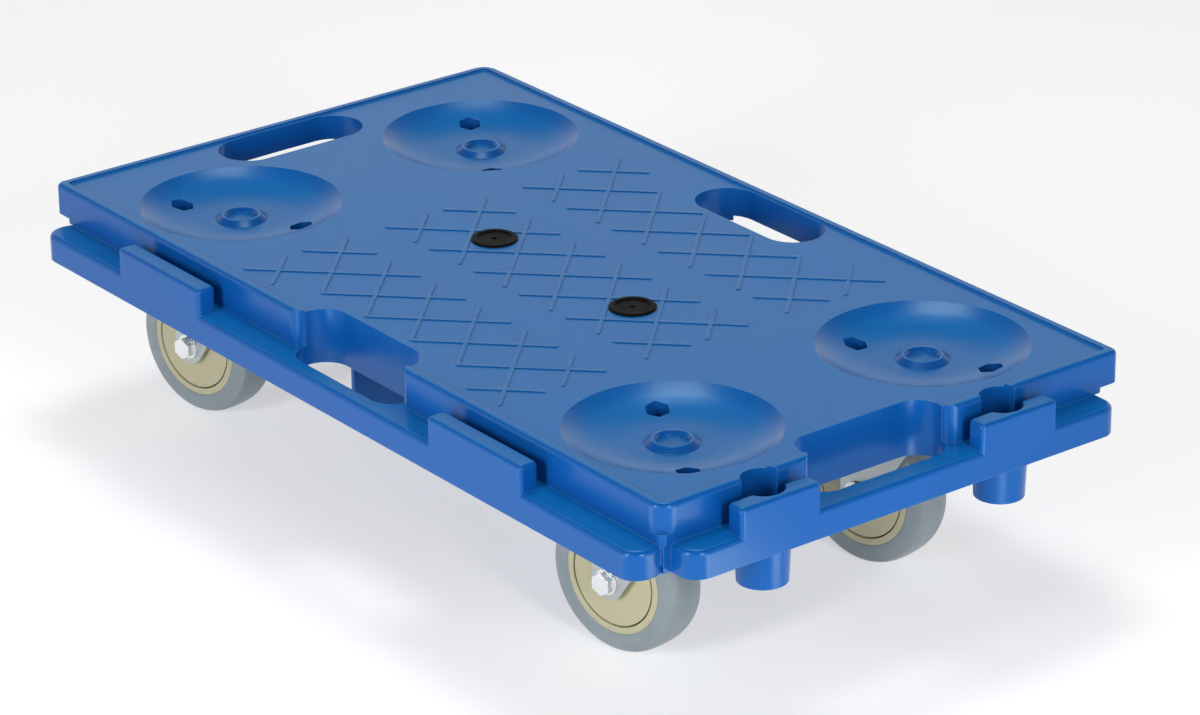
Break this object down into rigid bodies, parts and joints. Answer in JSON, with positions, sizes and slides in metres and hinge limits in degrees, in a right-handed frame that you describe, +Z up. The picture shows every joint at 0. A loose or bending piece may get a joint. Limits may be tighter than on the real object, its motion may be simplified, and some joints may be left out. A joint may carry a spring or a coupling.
{
  "type": "interlocking platform dolly",
  "caption": "Low moulded platform dolly on swivel casters, with tabbed strips on two sides that hook under a neighbour's lips, hand openings and sockets for a push handle.",
  "frame": {"origin": "on the floor under the middle of the footprint, deck and coupling strips included", "axes": "+X along the long side towards the side that carries a coupling strip, +Y from the front strip to the rear lip, +Z up"},
  "size_m": [0.681, 0.3852, 0.16],
  "materials": {
    "deck_plastic": "moulded blue polypropylene, fine satin grain",
    "plug_plastic": "satin black",
    "zinc_plated_steel": "bright zinc plate, pressed sheet",
    "ball_steel": "polished, greased",
    "hub_plastic": "satin beige",
    "tyre_rubber": "non-marking light grey rubber, satin"
  },
  "bodies": {
    "chassis": {"deck": "deck_plastic", "left_plug": "plug_plastic", "right_plug": "plug_plastic", "caster_bolts": "zinc_plated_steel", "caster_nuts": "zinc_plated_steel", "front_left_top_plate": "zinc_plated_steel", "front_left_kingpin": "zinc_plated_steel", "front_left_lower_cup": "zinc_plated_steel", "front_left_ball_rings": "ball_steel", "front_right_top_plate": "zinc_plated_steel", "front_right_kingpin": "zinc_plated_steel", "front_right_lower_cup": "zinc_plated_steel", "front_right_ball_rings": "ball_steel", "rear_left_top_plate": "zinc_plated_steel", "rear_left_kingpin": "zinc_plated_steel", "rear_left_lower_cup": "zinc_plated_steel", "rear_left_ball_rings": "ball_steel", "rear_right_top_plate": "zinc_plated_steel", "rear_right_kingpin": "zinc_plated_steel", "rear_right_lower_cup": "zinc_plated_steel", "rear_right_ball_rings": "ball_steel"},
    "front_left_swivel": {"front_left_fork": "zinc_plated_steel", "front_left_axle_bolt": "zinc_plated_steel", "front_left_axle_nut": "zinc_plated_steel", "front_left_axle_washers": "zinc_plated_steel", "front_left_axle_sleeve": "zinc_plated_steel"},
    "front_left_wheel": {"front_left_wheel_hub": "hub_plastic", "front_left_tyre": "tyre_rubber"},
    "front_right_swivel": {"front_right_fork": "zinc_plated_steel", "front_right_axle_bolt": "zinc_plated_steel", "front_right_axle_nut": "zinc_plated_steel", "front_right_axle_washers": "zinc_plated_steel", "front_right_axle_sleeve": "zinc_plated_steel"},
    "front_right_wheel": {"front_right_wheel_hub": "hub_plastic", "front_right_tyre": "tyre_rubber"},
    "rear_left_swivel": {"rear_left_fork": "zinc_plated_steel", "rear_left_axle_bolt": "zinc_plated_steel", "rear_left_axle_nut": "zinc_plated_steel", "rear_left_axle_washers": "zinc_plated_steel", "rear_left_axle_sleeve": "zinc_plated_steel"},
    "rear_left_wheel": {"rear_left_wheel_hub": "hub_plastic", "rear_left_tyre": "tyre_rubber"},
    "rear_right_swivel": {"rear_right_fork": "zinc_plated_steel", "rear_right_axle_bolt": "zinc_plated_steel", "rear_right_axle_nut": "zinc_plated_steel", "rear_right_axle_washers": "zinc_plated_steel", "rear_right_axle_sleeve": "zinc_plated_steel"},
    "rear_right_wheel": {"rear_right_wheel_hub": "hub_plastic", "rear_right_tyre": "tyre_rubber"}
  },
  "joints": [
    {"name": "front_left_turn", "type": "hinge", "parent": "chassis", "child": "front_left_swivel", "pos_m": [-0.232, -0.0929, 0.118], "axis": [0, 0, 1], "continuous": true},
    {"name": "front_left_roll", "type": "hinge", "parent": "front_left_swivel", "child": "front_left_wheel", "pos_m": [-0.26832, -0.09996, 0.05], "axis": [-0.1908, 0.9816, 0], "continuous": true},
    {"name": "front_right_turn", "type": "hinge", "parent": "chassis", "child": "front_right_swivel", "pos_m": [0.232, -0.0929, 0.118], "axis": [0, 0, 1], "continuous": true},
    {"name": "front_right_roll", "type": "hinge", "parent": "front_right_swivel", "child": "front_right_wheel", "pos_m": [0.19568, -0.09996, 0.05], "axis": [-0.1908, 0.9816, 0], "continuous": true},
    {"name": "rear_left_turn", "type": "hinge", "parent": "chassis", "child": "rear_left_swivel", "pos_m": [-0.232, 0.1067, 0.118], "axis": [0, 0, 1], "continuous": true},
    {"name": "rear_left_roll", "type": "hinge", "parent": "rear_left_swivel", "child": "rear_left_wheel", "pos_m": [-0.26832, 0.09964, 0.05], "axis": [-0.1908, 0.9816, 0], "continuous": true},
    {"name": "rear_right_turn", "type": "hinge", "parent": "chassis", "child": "rear_right_swivel", "pos_m": [0.232, 0.1067, 0.118], "axis": [0, 0, 1], "continuous": true},
    {"name": "rear_right_roll", "type": "hinge", "parent": "rear_right_swivel", "child": "rear_right_wheel", "pos_m": [0.19568, 0.09964, 0.05], "axis": [-0.1908, 0.9816, 0], "continuous": true}
  ]
}
